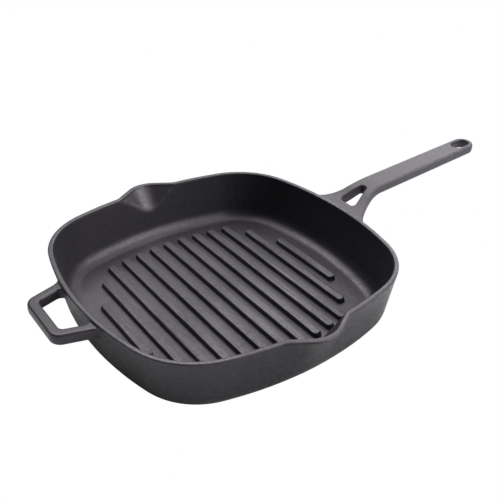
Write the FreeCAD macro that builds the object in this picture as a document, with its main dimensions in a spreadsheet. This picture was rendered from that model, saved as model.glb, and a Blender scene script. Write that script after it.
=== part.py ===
import FreeCAD, Part
import Sketcher
import math
import os

# Cast-iron grill pan: a bowed square pan with grill ridges, two pour spouts, a long forked handle and a
# helper handle. Millimetres and degrees. The origin is the middle of the underside, +Z is up, the long
# handle points along +X and the spouts are on the +Y and -Y sides.

doc = FreeCAD.newDocument("GrillPan")

# Driving dimensions: alias, value, what it measures.
SIZES = [
    ("pan_width", 255.4, "rim to rim across the middle of two opposite sides"),
    ("side_bow_radius", 277.0, "radius of each bowed side, seen from above"),
    ("corner_radius", 64.3, "radius of each rim corner, seen from above"),
    ("rim_height", 49.7, "rim above the underside"),
    ("wall_draft", 10.1, "lean of the wall from the vertical, degrees"),
    ("wall_thickness", 4.0, "wall, measured square to its face"),
    ("rim_round", 1.1, "edge radius along both sides of the rim"),
    ("floor_thickness", 5.0, "floor between the ridges"),
    ("floor_fillet", 12.0, "inside radius from floor to wall"),
    ("bottom_radius", 14.4, "outside radius from underside to wall"),
    ("seam_strip", 3.0, "flat strip of floor that belongs to the wall"),
    ("ridge_pitch", 14.94, "ridge to ridge"),
    ("ridge_width", 7.7, "ridge at the floor"),
    ("ridge_height", 4.2, "ridge above the floor"),
    ("ridge_draft", 7.0, "lean of a ridge's sides, degrees"),
    ("ridge_end_run", 1.5, "length of a ridge's sloping end"),
    ("ridge_corner", 2.4, "upright corner radius at a ridge's ends"),
    ("ridge_round", 1.0, "edge radius round a ridge's top"),
    ("ridge_edge_gap", 6.0, "least floor between the outermost ridge and the wall's inside curve"),
    ("ridge_end_gap", 11.0, "floor beyond each end of the middle ridge"),
    ("ridge_second_cut", 25.3, "last ridge but one, shorter at each end than the middle ridge"),
    ("ridge_outer_cut", 54.8, "outermost ridge, shorter at each end than the middle ridge"),
    ("spout_reach", 12.9, "spout tip beyond the side of the pan"),
    ("spout_flank", 32.0, "flank of the spout to the side of the pan, degrees"),
    ("spout_tip_radius", 24.0, "outside radius of the spout's tip"),
    ("spout_lip", 5.3, "metal at the spout's tip"),
    ("scoop_tip_radius", 22.0, "inside radius of the spout's tip"),
    ("spout_slope", 40.7, "valley of the spout from the vertical, degrees"),
    ("handle_reach", 168.6, "handle tip beyond the side of the pan"),
    ("handle_drop", 2.5, "handle root below the rim"),
    ("handle_thickness", 8.6, "handle, measured square to its top"),
    ("fork_length", 40.5, "rim to the start of the straight grip"),
    ("fork_root_angle", 16.0, "rise of the handle where it leaves the rim, degrees"),
    ("fork_rise_radius", 79.0, "hollow curve of the fork, seen from the side"),
    ("fork_crest_radius", 45.0, "crowned curve from fork to grip, seen from the side"),
    ("grip_angle", 3.7, "rise of the straight grip, degrees"),
    ("fork_root_width", 78.0, "fork where it meets the wall"),
    ("fork_flare_radius", 49.0, "flare from grip to fork, seen from above"),
    ("grip_width", 22.6, "grip where the flare ends"),
    ("tip_width", 21.2, "grip at its rounded tip"),
    ("handle_round", 2.2, "edge radius along the handle"),
    ("fork_hole_setback", 8.5, "fork hole from the side of the pan"),
    ("fork_hole_length", 20.5, "fork hole along the handle, before its corners are rounded"),
    ("fork_hole_base", 19.0, "fork hole across, at the end near the pan"),
    ("fork_hole_top", 6.0, "fork hole across, at the end near the grip"),
    ("fork_hole_round", 2.6, "corner radius of the fork hole"),
    ("hang_slot_length", 19.0, "hang hole along the handle"),
    ("hang_slot_width", 12.0, "hang hole across the handle"),
    ("hang_slot_wall", 4.4, "metal between the hang hole and the tip"),
    ("helper_reach", 28.2, "helper handle beyond the side of the pan"),
    ("helper_drop", 2.2, "helper handle's top below the rim"),
    ("helper_thickness", 9.2, "helper handle from top to bottom"),
    ("helper_bar_length", 52.6, "outside of the helper handle's bar, before its corners are rounded"),
    ("helper_bar_width", 8.8, "helper handle's bar, seen from above"),
    ("helper_arm_width", 8.6, "helper handle's arms, seen from above"),
    ("helper_splay", 17.0, "lean of the arms, degrees"),
    ("helper_corner", 10.0, "outside corner radius of the helper handle"),
    ("helper_window_corner", 4.5, "inside corner radius of the helper handle"),
    ("helper_round", 1.8, "edge radius along the helper handle"),
    ("root_overlap", 12.0, "length of a blank that the wall's face trims away"),
    ("fork_root_inset", 4.0, "outer end of the fork's flare, inside the side of the pan"),
    ("cut_margin", 2.5, "length that a cut or a blank runs past the metal"),
]

# Values worked out from the driving dimensions.
WORKED = [
    ("half_width", "Sizes.pan_width / 2"),
    ("side_centre", "Sizes.side_bow_radius - half_width"),
    ("arc_gap", "Sizes.side_bow_radius - Sizes.corner_radius"),
    ("corner_centre", "(sqrt(2 * arc_gap * arc_gap - side_centre * side_centre) - side_centre) / 2"),
    ("side_angle", "asin(corner_centre / arc_gap)"),
    ("lean", "tan(Sizes.wall_draft)"),
    ("fillet_run", "1 / cos(Sizes.wall_draft) - lean"),
    ("skin", "Sizes.wall_thickness / cos(Sizes.wall_draft)"),
    ("inner_height", "Sizes.rim_height - Sizes.floor_thickness"),
    ("inner_inset", "skin + inner_height * lean + Sizes.floor_fillet * fillet_run"),
    ("outer_inset", "Sizes.rim_height * lean + Sizes.bottom_radius * fillet_run"),
    ("floor_inset", "max(inner_inset; outer_inset) + Sizes.seam_strip"),
    ("floor_half", "half_width - inner_inset"),
    ("ridge_half", "floor_half - Sizes.ridge_end_gap"),
    ("spout_tip", "half_width + Sizes.spout_reach"),
    ("spout_depth", "(Sizes.spout_reach + skin) / (tan(Sizes.spout_slope) - lean) + Sizes.cut_margin"),
    ("root_back", "half_width - Sizes.root_overlap"),
    ("fork_root", "half_width - Sizes.fork_root_inset"),
    ("handle_top", "Sizes.rim_height - Sizes.handle_drop"),
    ("handle_end", "half_width + Sizes.handle_reach"),
    ("grip_start", "half_width + Sizes.fork_length"),
    ("fork_hole_near", "half_width + Sizes.fork_hole_setback"),
    ("fork_hole_far", "fork_hole_near + Sizes.fork_hole_length"),
    ("helper_bar", "half_width + Sizes.helper_reach"),
    ("helper_window", "helper_bar - Sizes.helper_bar_width"),
]

# The directions that the four sides of the pan face, seen from above, degrees
FACINGS = (0, 90, 180, 270)

# Limits for picking edges: what counts as upright, as level, and as the same place
UPRIGHT = 0.999
LEVEL_FACE = 0.5
UPRIGHT_FACE = 0.05
SAME_PLACE = 0.01


def fill_sheet(name, rows):
    sheet = doc.addObject("Spreadsheet::Sheet", name)
    for number, row in enumerate(rows, start=1):
        sheet.set("A%d" % number, row[0])
        sheet.set("B%d" % number, row[1])
        sheet.set("C%d" % number, row[2])
        sheet.setAlias("B%d" % number, row[0])
    doc.recompute()
    return sheet


sizes = fill_sheet("Sizes", [(alias, str(number), note) for alias, number, note in SIZES])
fill_sheet("Worked", [(alias, "=" + formula, "worked out") for alias, formula in WORKED])


def value(formula):
    result = sizes.evalExpression(formula)
    return float(getattr(result, "Value", result))


def bind(item, **formulas):
    """Bind properties of a document object to the sheets."""
    for name, formula in formulas.items():
        item.setExpression(name.replace("__", "."), formula)


def origin_feature(body, role):
    return next(item for item in body.Origin.OriginFeatures if item.Role == role)


def new_body(name):
    body = doc.addObject("PartDesign::Body", name)
    body.Label = name
    return body


def attach(item, body, role):
    item.AttachmentSupport = [(origin_feature(body, role), "")]
    item.MapMode = "FlatFace"


def new_sketch(body, name, role):
    sketch = body.newObject("Sketcher::SketchObject", name)
    attach(sketch, body, role)
    return sketch


ORIGIN = (-1, 1)
X_AXIS, Y_AXIS = range(-1, -3, -1)
START, END, CENTRE = range(1, 4)


def point(across, up):
    return FreeCAD.Vector(across, up, 0)


def add_line(sketch, first, second):
    return sketch.addGeometry(Part.LineSegment(point(*first), point(*second)), False)


def add_arc(sketch, centre, radius, first_angle, last_angle):
    circle = Part.Circle(point(*centre), FreeCAD.Vector(0, 0, 1), radius)
    arc = Part.ArcOfCircle(circle, math.radians(first_angle), math.radians(last_angle))
    return sketch.addGeometry(arc, False)


def hold(sketch, kind, *places):
    sketch.addConstraint(Sketcher.Constraint(kind, *places))


def drive(sketch, name, formula, kind, *places):
    """Add a dimension and bind it to the sheets."""
    amount = value(formula)
    if kind == "Angle":
        amount = math.radians(amount)
        formula = "(%s) * 1 deg" % formula
    index = sketch.addConstraint(Sketcher.Constraint(kind, *places, amount))
    sketch.renameConstraint(index, name)
    sketch.setExpression("Constraints." + name, formula)


def settle(sketch):
    """Recompute a sketch and see that its dimensions leave nothing loose."""
    doc.recompute()
    if sketch.solve() != 0 or not sketch.FullyConstrained:
        raise RuntimeError("sketch %s is not settled" % sketch.Name)


def edge_names(shape, test):
    return ["Edge%d" % number for number, edge in enumerate(shape.Edges, start=1) if test(edge)]


def round_edges(body, name, radius, test):
    base = body.Tip
    names = edge_names(base.Shape, test)
    if not names:
        raise RuntimeError("%s finds no edge" % name)
    fillet = body.newObject("PartDesign::Fillet", name)
    fillet.Base = (base, names)
    fillet.Radius = value(radius)
    bind(fillet, Radius=radius)
    doc.recompute()
    return fillet


def is_upright(edge):
    if edge.Curve.TypeId != "Part::GeomLine":
        return False
    return abs(edge.Curve.Direction.z) > UPRIGHT


def middle_of(edge):
    return edge.valueAt((edge.FirstParameter + edge.LastParameter) / 2)


# Floor: a flat plate whose edge follows the bowed rim outline, set in from it
def bowed_square(sketch, radius):
    """Four bowed sides that meet in sharp corners."""
    centre = value("Worked.side_centre")
    size = value(radius)
    corner = (math.sqrt(2 * size * size - centre * centre) - centre) / 2
    turn = math.degrees(math.asin(corner / size))
    sides = []
    for facing in FACINGS:
        away = math.radians(facing + 180)
        middle = (centre * math.cos(away), centre * math.sin(away))
        sides.append(add_arc(sketch, middle, size, facing - turn, facing + turn))
    for side, following in zip(sides, sides[1:] + sides[:1]):
        hold(sketch, "Coincident", side, END, following, START)
    right, back, left, front = sides
    for side, axis in ((right, X_AXIS), (left, X_AXIS), (back, Y_AXIS), (front, Y_AXIS)):
        hold(sketch, "PointOnObject", side, CENTRE, axis)
    drive(sketch, "bow", radius, "Radius", right)
    for side in (back, left, front):
        hold(sketch, "Equal", right, side)
    drive(sketch, "right_centre", "Worked.side_centre", "DistanceX", right, CENTRE, *ORIGIN)
    drive(sketch, "left_centre", "Worked.side_centre", "DistanceX", *ORIGIN, left, CENTRE)
    drive(sketch, "back_centre", "Worked.side_centre", "DistanceY", back, CENTRE, *ORIGIN)
    drive(sketch, "front_centre", "Worked.side_centre", "DistanceY", *ORIGIN, front, CENTRE)
    settle(sketch)


def make_base_plate():
    body = new_body("base_plate")
    outline = new_sketch(body, "plate_outline", "XY_Plane")
    bowed_square(outline, "Sizes.side_bow_radius - Worked.floor_inset")
    plate = body.newObject("PartDesign::Pad", "plate")
    plate.Profile = outline
    bind(plate, Length="Sizes.floor_thickness")
    doc.recompute()
    round_edges(body, "plate_corners", "Sizes.corner_radius - Worked.floor_inset", is_upright)
    return body


# Wall: one section turned about the centre of each side arc and of each corner arc
def wall_section(sketch, rim):
    """The wall's section. The sketch's upright axis is the axis it is turned about."""
    lean = value("Sizes.wall_draft")
    slope, upright = math.tan(math.radians(lean)), math.cos(math.radians(lean))
    rim_at, height = value(rim), value("Sizes.rim_height")
    floor, edge = value("Sizes.floor_thickness"), value("Sizes.rim_round")
    inside, outside = value("Sizes.floor_fillet"), value("Sizes.bottom_radius")
    seam = rim_at - value("Worked.floor_inset")

    def face(depth_from_outside, level):
        return rim_at - depth_from_outside - (height - level) * slope

    def corner(depth_from_outside, level, radius, side):
        """Centre of a radius that touches a wall face, on its outer (1) or inner (-1) side."""
        return (face(depth_from_outside, level) + side * radius / upright, level)

    skin = value("Worked.skin")
    foot = corner(0, outside, outside, -1)
    rim_out = corner(0, height - edge, edge, -1)
    rim_in = corner(skin, height - edge, edge, 1)
    hollow = corner(skin, floor + inside, inside, -1)

    def on_face(centre, radius):
        turn = math.radians(-lean)
        return (centre[0] + radius * math.cos(turn), centre[1] + radius * math.sin(turn))

    under = add_line(sketch, (seam, 0), (foot[0], 0))
    foot_arc = add_arc(sketch, foot, outside, -90, -lean)
    outer = add_line(sketch, on_face(foot, outside), on_face(rim_out, edge))
    rim_outer = add_arc(sketch, rim_out, edge, -lean, 90)
    rim_top = add_line(sketch, (rim_out[0], height), (rim_in[0], height))
    rim_inner = add_arc(sketch, rim_in, edge, 90, 180 - lean)
    inner = add_line(sketch, on_face(rim_in, -edge), on_face(hollow, inside))
    hollow_arc = add_arc(sketch, hollow, inside, -90, -lean)
    strip = add_line(sketch, (hollow[0], floor), (seam, floor))
    seam_line = add_line(sketch, (seam, floor), (seam, 0))
    sharp = sketch.addGeometry(Part.Point(point(rim_at, height)), True)

    chain = [under, foot_arc, outer, rim_outer, rim_top, rim_inner, inner]
    for item, following in zip(chain, chain[1:]):
        hold(sketch, "Tangent", item, END, following, START)
    hold(sketch, "Tangent", inner, END, hollow_arc, END)
    hold(sketch, "Tangent", hollow_arc, START, strip, START)
    hold(sketch, "Coincident", strip, END, seam_line, START)
    hold(sketch, "Coincident", seam_line, END, under, START)
    hold(sketch, "PointOnObject", under, START, X_AXIS)
    for level_line in (under, rim_top, strip):
        hold(sketch, "Horizontal", level_line)
    hold(sketch, "Vertical", seam_line)
    hold(sketch, "Parallel", outer, inner)
    hold(sketch, "Equal", rim_outer, rim_inner)
    hold(sketch, "PointOnObject", sharp, START, outer)
    hold(sketch, "PointOnObject", sharp, START, rim_top)
    drive(sketch, "rim", rim, "DistanceX", *ORIGIN, sharp, START)
    drive(sketch, "height", "Sizes.rim_height", "DistanceY", *ORIGIN, sharp, START)
    drive(sketch, "draft", "90 - Sizes.wall_draft", "Angle", outer)
    drive(sketch, "wall", "Sizes.wall_thickness", "Distance", inner, END, outer)
    drive(sketch, "rim_round", "Sizes.rim_round", "Radius", rim_outer)
    drive(sketch, "floor", "Sizes.floor_thickness", "DistanceY", *ORIGIN, strip, START)
    drive(sketch, "floor_fillet", "Sizes.floor_fillet", "Radius", hollow_arc)
    drive(sketch, "bottom_radius", "Sizes.bottom_radius", "Radius", foot_arc)
    drive(sketch, "seam", "(%s) - Worked.floor_inset" % rim, "DistanceX", *ORIGIN, seam_line, START)
    settle(sketch)


def turn_section(body, name, sketch, angle):
    wall = body.newObject("PartDesign::Revolution", name)
    wall.Profile = sketch
    wall.ReferenceAxis = (sketch, ["V_Axis"])
    wall.Midplane = True
    bind(wall, Angle=angle)
    doc.recompute()
    return wall


def make_side_wall():
    body = new_body("side_wall")
    side = new_sketch(body, "side_section", "XZ_Plane")
    bind(side, AttachmentOffset__Base__x="-Worked.side_centre")
    wall_section(side, "Sizes.side_bow_radius")
    side_wall = turn_section(body, "bowed_side", side, "2 * Worked.side_angle")

    corner = new_sketch(body, "corner_section", "XZ_Plane")
    corner.AttachmentOffset.Rotation = FreeCAD.Rotation(FreeCAD.Vector(0, 1, 0), 45)
    bind(corner, AttachmentOffset__Base__x="Worked.corner_centre",
         AttachmentOffset__Base__z="-Worked.corner_centre")
    wall_section(corner, "Sizes.corner_radius")
    corner_wall = turn_section(body, "round_corner", corner, "90 deg - 2 * Worked.side_angle")

    ring = body.newObject("PartDesign::PolarPattern", "wall_ring")
    ring.Originals = [side_wall, corner_wall]
    ring.Axis = (origin_feature(body, "Z_Axis"), [""])
    ring.Angle = 360
    ring.Occurrences = len(FACINGS)
    body.Tip = ring
    doc.recompute()

    notch_outline = new_sketch(body, "notch_outline", "XY_Plane")
    bind(notch_outline, AttachmentOffset__Base__z="Sizes.rim_height")
    spout_outline(notch_outline, "Worked.spout_tip", "Sizes.spout_tip_radius")
    notch = body.newObject("PartDesign::Pocket", "spout_notch")
    lean_down(notch, notch_outline)
    both = body.newObject("PartDesign::Mirrored", "both_notches")
    both.Originals = [notch]
    both.MirrorPlane = (origin_feature(body, "XZ_Plane"), [""])
    body.Tip = both
    doc.recompute()
    return body


# Spouts: a rounded V, seen from above, that slopes down and in through the wall
def spout_outline(sketch, tip, radius):
    flank, size = math.radians(value("Sizes.spout_flank")), value(radius)
    centre = value(tip) - size
    back = value("Worked.root_back")
    touch = (size * math.sin(flank), centre + size * math.cos(flank))
    foot = touch[0] + (touch[1] - back) / math.tan(flank)
    right = add_line(sketch, (foot, back), touch)
    tip_arc = add_arc(sketch, (0, centre), size, 90 - math.degrees(flank), 90 + math.degrees(flank))
    left = add_line(sketch, (-touch[0], touch[1]), (-foot, back))
    base = add_line(sketch, (-foot, back), (foot, back))
    hold(sketch, "Tangent", right, END, tip_arc, START)
    hold(sketch, "Tangent", tip_arc, END, left, START)
    hold(sketch, "Coincident", left, END, base, START)
    hold(sketch, "Coincident", base, END, right, START)
    hold(sketch, "Symmetric", base, START, base, END, Y_AXIS)
    hold(sketch, "PointOnObject", tip_arc, CENTRE, Y_AXIS)
    drive(sketch, "tip_radius", radius, "Radius", tip_arc)
    drive(sketch, "tip", "(%s) - (%s)" % (tip, radius), "DistanceY", *ORIGIN, tip_arc, CENTRE)
    drive(sketch, "flank", "180 - Sizes.spout_flank", "Angle", right)
    drive(sketch, "back", "Worked.root_back", "DistanceY", *ORIGIN, base, START)
    settle(sketch)


def lean_down(feature, outline):
    """Send a pad or pocket from the rim down the slope of the spout's valley."""
    feature.Profile = outline
    feature.UseCustomVector = True
    feature.AlongSketchNormal = True
    feature.Direction = FreeCAD.Vector(0, -1, -1)
    bind(feature, Direction__y="-tan(Sizes.spout_slope)", Length="Worked.spout_depth")
    doc.recompute()


def trim_at_wall(body, name, depth_from_outside, centre_x, centre_y):
    """Cut away everything on the pan's side of one bowed wall face, as far above the rim as below it."""
    cone = body.newObject("PartDesign::SubtractiveCone", name)
    attach(cone, body, "XY_Plane")
    at_rim = "Sizes.side_bow_radius - %s" % depth_from_outside
    bind(cone, AttachmentOffset__Base__x=centre_x, AttachmentOffset__Base__y=centre_y,
         Radius1="%s - Sizes.rim_height * Worked.lean" % at_rim,
         Radius2="%s + Sizes.rim_height * Worked.lean" % at_rim, Height="2 * Sizes.rim_height")
    doc.recompute()


def make_pour_spout(name, turn):
    body = new_body(name)
    outside = new_sketch(body, name + "_outside", "XY_Plane")
    bind(outside, AttachmentOffset__Base__z="Sizes.rim_height")
    spout_outline(outside, "Worked.spout_tip", "Sizes.spout_tip_radius")
    beak = body.newObject("PartDesign::Pad", name + "_beak")
    lean_down(beak, outside)
    inside = new_sketch(body, name + "_inside", "XY_Plane")
    bind(inside, AttachmentOffset__Base__z="Sizes.rim_height")
    spout_outline(inside, "Worked.spout_tip - Sizes.spout_lip", "Sizes.scoop_tip_radius")
    scoop = body.newObject("PartDesign::Pocket", name + "_scoop")
    lean_down(scoop, inside)
    trim_at_wall(body, name + "_trim", "Worked.skin", "0", "-Worked.side_centre")
    body.Placement = FreeCAD.Placement(FreeCAD.Vector(), FreeCAD.Rotation(FreeCAD.Vector(0, 0, 1), turn))
    doc.recompute()
    return body


# Ridges: flat-topped bars with leaning sides and steep, round-cornered ends, standing on the floor
def ridges_each_side():
    """How many ridges fit between the middle one and the wall's inside curve."""
    room = value("Worked.floor_half - Sizes.ridge_edge_gap - Sizes.ridge_width / 2")
    return int(room / value("Sizes.ridge_pitch"))


def ridge_half_length(step, outermost):
    if abs(step) == outermost:
        return "Worked.ridge_half - Sizes.ridge_outer_cut"
    if abs(step) == outermost - 1:
        return "Worked.ridge_half - Sizes.ridge_second_cut"
    off = "(%d * Sizes.ridge_pitch)" % step
    bow = "Sizes.side_bow_radius"
    return "Worked.ridge_half - %s + sqrt(%s * %s - %s * %s)" % (bow, bow, bow, off, off)


def make_ridge(number, step, outermost):
    body = new_body("grill_ridge_%02d" % number)
    half = ridge_half_length(step, outermost)
    lean = "Sizes.ridge_height * tan(Sizes.ridge_draft)"
    bar = body.newObject("PartDesign::AdditiveWedge", "ridge_bar_%02d" % number)
    attach(bar, body, "XZ_Plane")
    bind(bar, AttachmentOffset__Base__x="%d * Sizes.ridge_pitch" % step,
         AttachmentOffset__Base__y="Sizes.floor_thickness",
         Xmin="-Sizes.ridge_width / 2", Xmax="Sizes.ridge_width / 2",
         X2min="-Sizes.ridge_width / 2 + " + lean, X2max="Sizes.ridge_width / 2 - " + lean,
         Ymin="0", Ymax="Sizes.ridge_height", Zmin="-(%s)" % half, Zmax=half,
         Z2min="Sizes.ridge_end_run - (%s)" % half, Z2max="(%s) - Sizes.ridge_end_run" % half)
    doc.recompute()
    round_edges(body, "ridge_corner_%02d" % number, "Sizes.ridge_corner",
                lambda edge: edge.BoundBox.ZLength > value("Sizes.ridge_height") / 2)
    top = value("Sizes.floor_thickness + Sizes.ridge_height")
    round_edges(body, "ridge_round_%02d" % number, "Sizes.ridge_round",
                lambda edge: edge.BoundBox.ZMin > top - value("Sizes.ridge_round") / 2)
    return body


# Long handle: the plan outline and the side outline, each padded, and what they share
def handle_plan(sketch):
    back, root = value("Worked.root_back"), value("Worked.fork_root")
    root_half, grip_half = value("Sizes.fork_root_width / 2"), value("Sizes.grip_width / 2")
    flare, tip = value("Sizes.fork_flare_radius"), value("Sizes.tip_width / 2")
    rise = root_half - grip_half
    run = math.sqrt(2 * flare * rise - rise * rise)
    turn = math.degrees(math.asin(run / flare))
    tip_centre = value("Worked.handle_end") - tip

    behind = add_line(sketch, (back, root_half), (back, -root_half))
    lower = add_line(sketch, (back, -root_half), (root, -root_half))
    lower_flare = add_arc(sketch, (root + run, -grip_half - flare), flare, 90, 90 + turn)
    lower_edge = add_line(sketch, (root + run, -grip_half), (tip_centre, -tip))
    tip_arc = add_arc(sketch, (tip_centre, 0), tip, -90, 90)
    upper_edge = add_line(sketch, (tip_centre, tip), (root + run, grip_half))
    upper_flare = add_arc(sketch, (root + run, grip_half + flare), flare, -90 - turn, -90)
    upper = add_line(sketch, (root, root_half), (back, root_half))

    hold(sketch, "Coincident", behind, END, lower, START)
    hold(sketch, "Coincident", lower, END, lower_flare, END)
    hold(sketch, "Tangent", lower_flare, START, lower_edge, START)
    hold(sketch, "Tangent", lower_edge, END, tip_arc, START)
    hold(sketch, "Tangent", tip_arc, END, upper_edge, START)
    hold(sketch, "Tangent", upper_edge, END, upper_flare, END)
    hold(sketch, "Coincident", upper_flare, START, upper, START)
    hold(sketch, "Coincident", upper, END, behind, START)
    hold(sketch, "Horizontal", lower)
    hold(sketch, "Horizontal", upper)
    hold(sketch, "Equal", lower, upper)
    hold(sketch, "PointOnObject", tip_arc, CENTRE, X_AXIS)
    hold(sketch, "Symmetric", lower, START, upper, END, X_AXIS)
    hold(sketch, "Equal", lower_flare, upper_flare)
    drive(sketch, "back", "Worked.root_back", "DistanceX", *ORIGIN, behind, START)
    drive(sketch, "root", "Worked.fork_root", "DistanceX", *ORIGIN, upper, START)
    drive(sketch, "root_half", "Sizes.fork_root_width / 2", "DistanceY", *ORIGIN, upper, START)
    drive(sketch, "flare", "Sizes.fork_flare_radius", "Radius", upper_flare)
    drive(sketch, "grip_upper", "Sizes.grip_width / 2", "DistanceY", *ORIGIN, upper_flare, END)
    drive(sketch, "grip_lower", "Sizes.grip_width / 2", "DistanceY", lower_flare, START, *ORIGIN)
    drive(sketch, "tip_radius", "Sizes.tip_width / 2", "Radius", tip_arc)
    drive(sketch, "tip", "Worked.handle_end - Sizes.tip_width / 2", "DistanceX", *ORIGIN, tip_arc, CENTRE)
    settle(sketch)


def handle_side(sketch):
    """A band of even thickness: straight root, hollow curve, crowned curve, straight grip."""
    thick = value("Sizes.handle_thickness")
    hollow, crest = value("Sizes.fork_rise_radius"), value("Sizes.fork_crest_radius")
    root_turn = math.radians(value("Sizes.fork_root_angle"))
    grip_turn = math.radians(value("Sizes.grip_angle"))
    root = (value("Worked.half_width"), value("Worked.handle_top"))
    reach = value("Sizes.fork_length") + hollow * math.sin(root_turn) + crest * math.sin(grip_turn)
    rise_turn = math.asin(reach / (hollow + crest))
    past_tip = value("Worked.handle_end + Sizes.cut_margin")
    behind = value("Worked.root_back - Sizes.cut_margin")

    def beyond(centre, radius, turn):
        return (centre[0] + radius * math.sin(turn), centre[1] - radius * math.cos(turn))

    rise_centre = beyond(root, -hollow, root_turn)
    crest_centre = beyond(rise_centre, hollow + crest, rise_turn)

    def chain(drop):
        """One long edge of the band, at some depth below its top."""
        first = beyond(rise_centre, hollow + drop, root_turn)
        last = beyond(crest_centre, drop - crest, grip_turn)
        back = (behind, first[1] - (first[0] - behind) * math.tan(root_turn))
        front = (past_tip, last[1] + (past_tip - last[0]) * math.tan(grip_turn))
        low = math.degrees(root_turn) - 90
        high = math.degrees(rise_turn) - 90
        line_in = add_line(sketch, back, first)
        arc_up = add_arc(sketch, rise_centre, hollow + drop, low, high)
        arc_over = add_arc(sketch, crest_centre, crest - drop, math.degrees(grip_turn) + 90,
                           math.degrees(rise_turn) + 90)
        line_out = add_line(sketch, last, front)
        hold(sketch, "Tangent", line_in, END, arc_up, START)
        hold(sketch, "Tangent", arc_up, END, arc_over, END)
        hold(sketch, "Tangent", arc_over, START, line_out, START)
        return line_in, arc_up, arc_over, line_out, back, front

    top_in, top_up, top_over, top_out, top_back, top_front = chain(0)
    low_in, low_up, low_over, low_out, low_back, low_front = chain(thick)
    rear = add_line(sketch, low_back, top_back)
    nose = add_line(sketch, top_front, low_front)
    hold(sketch, "Coincident", rear, START, low_in, START)
    hold(sketch, "Coincident", rear, END, top_in, START)
    hold(sketch, "Coincident", nose, START, top_out, END)
    hold(sketch, "Coincident", nose, END, low_out, END)
    hold(sketch, "Vertical", rear)
    hold(sketch, "Vertical", nose)
    hold(sketch, "Coincident", top_up, CENTRE, low_up, CENTRE)
    hold(sketch, "Coincident", top_over, CENTRE, low_over, CENTRE)
    hold(sketch, "Parallel", top_in, low_in)
    hold(sketch, "Parallel", top_out, low_out)
    drive(sketch, "rear", "Worked.root_back - Sizes.cut_margin", "DistanceX", *ORIGIN, rear, START)
    drive(sketch, "nose", "Worked.handle_end + Sizes.cut_margin", "DistanceX", *ORIGIN, nose, START)
    drive(sketch, "root_x", "Worked.half_width", "DistanceX", *ORIGIN, top_in, END)
    drive(sketch, "root_z", "Worked.handle_top", "DistanceY", *ORIGIN, top_in, END)
    drive(sketch, "root_angle", "Sizes.fork_root_angle", "Angle", top_in)
    drive(sketch, "grip_angle", "Sizes.grip_angle", "Angle", top_out)
    drive(sketch, "rise", "Sizes.fork_rise_radius", "Radius", top_up)
    drive(sketch, "crest", "Sizes.fork_crest_radius", "Radius", top_over)
    drive(sketch, "rise_under", "Sizes.fork_rise_radius + Sizes.handle_thickness", "Radius", low_up)
    drive(sketch, "grip_start", "Worked.grip_start", "DistanceX", *ORIGIN, top_out, START)
    settle(sketch)


def fork_hole(sketch):
    """A four-sided hole with rounded corners, drawn inside guide lines that keep the sharp corners."""
    near, far = value("Worked.fork_hole_near"), value("Worked.fork_hole_far")
    base, top = value("Sizes.fork_hole_base / 2"), value("Sizes.fork_hole_top / 2")
    radius = value("Sizes.fork_hole_round")
    corners = [(near, -base), (far, -top), (far, top), (near, base)]
    sides = list(zip(corners, corners[1:] + corners[:1]))
    guides = [add_line(sketch, a, b) for a, b in sides]
    for guide, following in zip(guides, guides[1:] + guides[:1]):
        sketch.toggleConstruction(guide)
        hold(sketch, "Coincident", guide, END, following, START)
    lower, far_line, upper, near_line = guides
    hold(sketch, "Symmetric", near_line, START, near_line, END, X_AXIS)
    hold(sketch, "Symmetric", far_line, START, far_line, END, X_AXIS)
    drive(sketch, "near", "Worked.fork_hole_near", "DistanceX", *ORIGIN, lower, START)
    drive(sketch, "length", "Sizes.fork_hole_length", "DistanceX", lower, START, lower, END)
    drive(sketch, "base", "Sizes.fork_hole_base", "DistanceY", near_line, END, near_line, START)
    drive(sketch, "top", "Sizes.fork_hole_top", "DistanceY", far_line, START, far_line, END)

    headings = [math.atan2(b[1] - a[1], b[0] - a[0]) for a, b in sides]
    turns = [(after - before) % math.tau for before, after in zip(headings[-1:] + headings, headings)]
    trims = [radius * math.tan(turn / 2) for turn in turns]
    edges, bends = [], []
    for (a, b), heading, turn, trim, next_trim in zip(sides, headings, turns, trims, trims[1:] + trims[:1]):
        along, up = math.cos(heading), math.sin(heading)
        first = (a[0] + trim * along, a[1] + trim * up)
        last = (b[0] - next_trim * along, b[1] - next_trim * up)
        centre = (first[0] - radius * up, first[1] + radius * along)
        edges.append(add_line(sketch, first, last))
        bends.append(add_arc(sketch, centre, radius, math.degrees(heading - turn) - 90,
                             math.degrees(heading) - 90))
    for edge, guide, bend, next_bend in zip(edges, guides, bends, bends[1:] + bends[:1]):
        hold(sketch, "PointOnObject", edge, START, guide)
        hold(sketch, "PointOnObject", edge, END, guide)
        hold(sketch, "Tangent", bend, END, edge, START)
        hold(sketch, "Tangent", edge, END, next_bend, START)
        if bend != bends[0]:
            hold(sketch, "Equal", bends[0], bend)
    drive(sketch, "round", "Sizes.fork_hole_round", "Radius", bends[0])
    settle(sketch)


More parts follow.
